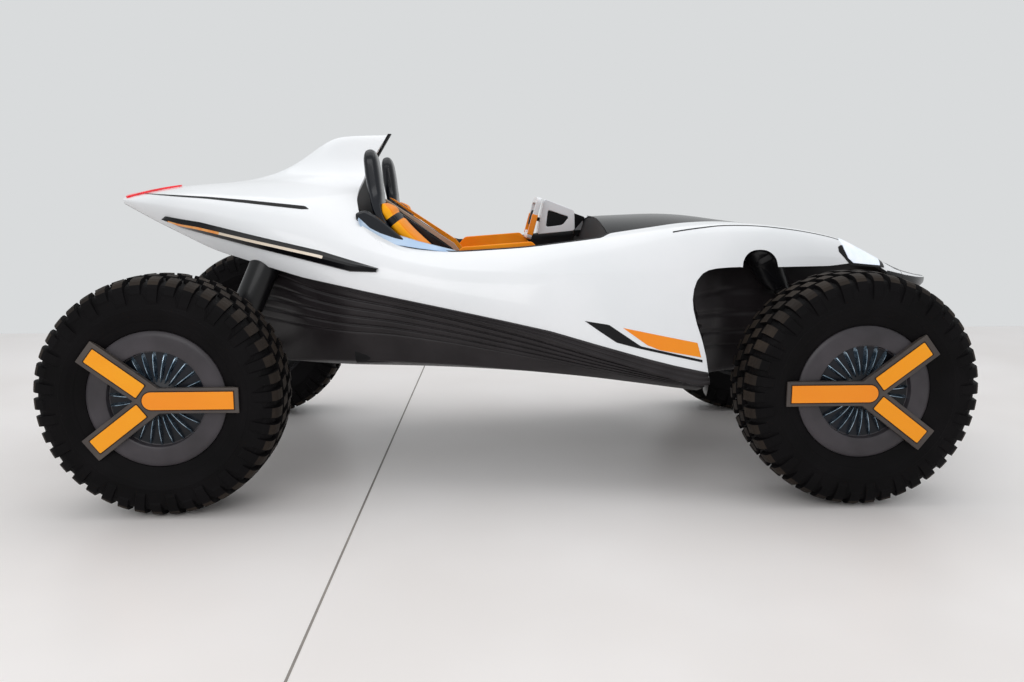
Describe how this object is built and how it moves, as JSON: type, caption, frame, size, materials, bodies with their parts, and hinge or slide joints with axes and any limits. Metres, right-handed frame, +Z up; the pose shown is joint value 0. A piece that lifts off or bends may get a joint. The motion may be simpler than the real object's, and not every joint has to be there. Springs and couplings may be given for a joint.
{
  "type": "electric dune buggy",
  "caption": "Open two-seat electric dune buggy with a fin tail, exposed struts and four large lugged tyres; front wheels steer.",
  "frame": {"origin": "on the ground, under the middle of the whole length, on the centre plane", "axes": "+X to the nose, +Y to the left side, +Z up"},
  "size_m": [3.745, 1.9, 1.5008],
  "materials": {
    "white_paint": "gloss",
    "white_plastic": "gloss",
    "gloss_black": "gloss",
    "hull_black": "satin",
    "black_trim": "matt",
    "tub_trim": "matt",
    "seat_shell": "satin",
    "seat_orange": "satin",
    "battery_case": "matt",
    "dark_steel": "satin",
    "steel": "brushed",
    "headlamp_glass": "gloss",
    "tail_lamp_red": "gloss",
    "tyre_rubber": "matt",
    "rim_dark": "satin",
    "cover_grey": "satin"
  },
  "bodies": {
    "body": {"battery": "battery_case", "cockpit_tub": "tub_trim", "cushion_left": "seat_orange", "cushion_right": "seat_orange", "dash": "black_trim", "fin_spine": "black_trim", "front_lower_arms": "dark_steel", "front_struts": "gloss_black", "front_upper_arms": "dark_steel", "headlamp_left": "headlamp_glass", "headlamp_right": "headlamp_glass", "hood": "gloss_black", "lower_hull": "hull_black", "nose_blade": "white_paint", "pedals": "steel", "rear_carriers": "dark_steel", "rear_lower_arms": "dark_steel", "rear_struts": "gloss_black", "rear_upper_arms": "dark_steel", "seat_left": "seat_shell", "seat_right": "seat_shell", "side_blade_left": "gloss_black", "side_blade_right": "gloss_black", "side_panel_left": "white_paint", "side_panel_right": "white_paint", "steering_shroud": "white_plastic", "tail_deck": "white_paint", "tail_lamp": "tail_lamp_red"},
    "knuckle_left": {"knuckle_left": "dark_steel"},
    "knuckle_right": {"knuckle_right": "dark_steel"},
    "wheel_front_left": {"rim_front_left": "rim_dark", "tyre_front_left": "tyre_rubber", "wheel_cover_front_left": "cover_grey"},
    "wheel_front_right": {"rim_front_right": "rim_dark", "tyre_front_right": "tyre_rubber", "wheel_cover_front_right": "cover_grey"},
    "wheel_rear_left": {"rim_rear_left": "rim_dark", "tyre_rear_left": "tyre_rubber", "wheel_cover_rear_left": "cover_grey"},
    "wheel_rear_right": {"rim_rear_right": "rim_dark", "tyre_rear_right": "tyre_rubber", "wheel_cover_rear_right": "cover_grey"},
    "steering": {"steering_wheel": "white_plastic"}
  },
  "joints": [
    {"name": "steer_right", "type": "hinge", "parent": "body", "child": "knuckle_right", "pos_m": [1.27245, -0.7, 0.46], "axis": [0, 0, 1], "range_deg": [-28, 28]},
    {"name": "steer_left", "type": "hinge", "parent": "body", "child": "knuckle_left", "pos_m": [1.27245, 0.7, 0.46], "axis": [0, 0, 1], "range_deg": [-28, 28]},
    {"name": "steering_turn", "type": "hinge", "parent": "body", "child": "steering", "pos_m": [0.07199, 0.34998, 1.10197], "axis": [-0.9659, 0, 0.2588], "range_deg": [-140, 140]},
    {"name": "spin_front_right", "type": "hinge", "parent": "knuckle_right", "child": "wheel_front_right", "pos_m": [1.27245, -0.79, 0.46], "axis": [0, 1, 0], "continuous": true},
    {"name": "spin_front_left", "type": "hinge", "parent": "knuckle_left", "child": "wheel_front_left", "pos_m": [1.27245, 0.79, 0.46], "axis": [0, 1, 0], "continuous": true},
    {"name": "spin_rear_right", "type": "hinge", "parent": "body", "child": "wheel_rear_right", "pos_m": [-1.41255, -0.79, 0.46], "axis": [0, 1, 0], "continuous": true},
    {"name": "spin_rear_left", "type": "hinge", "parent": "body", "child": "wheel_rear_left", "pos_m": [-1.41255, 0.79, 0.46], "axis": [0, 1, 0], "continuous": true}
  ],
  "couplings": [
    {"joint": "steer_left", "follows": "steer_right", "ratio": 1},
    {"joint": "steering_turn", "follows": "steer_right", "ratio": 5}
  ]
}
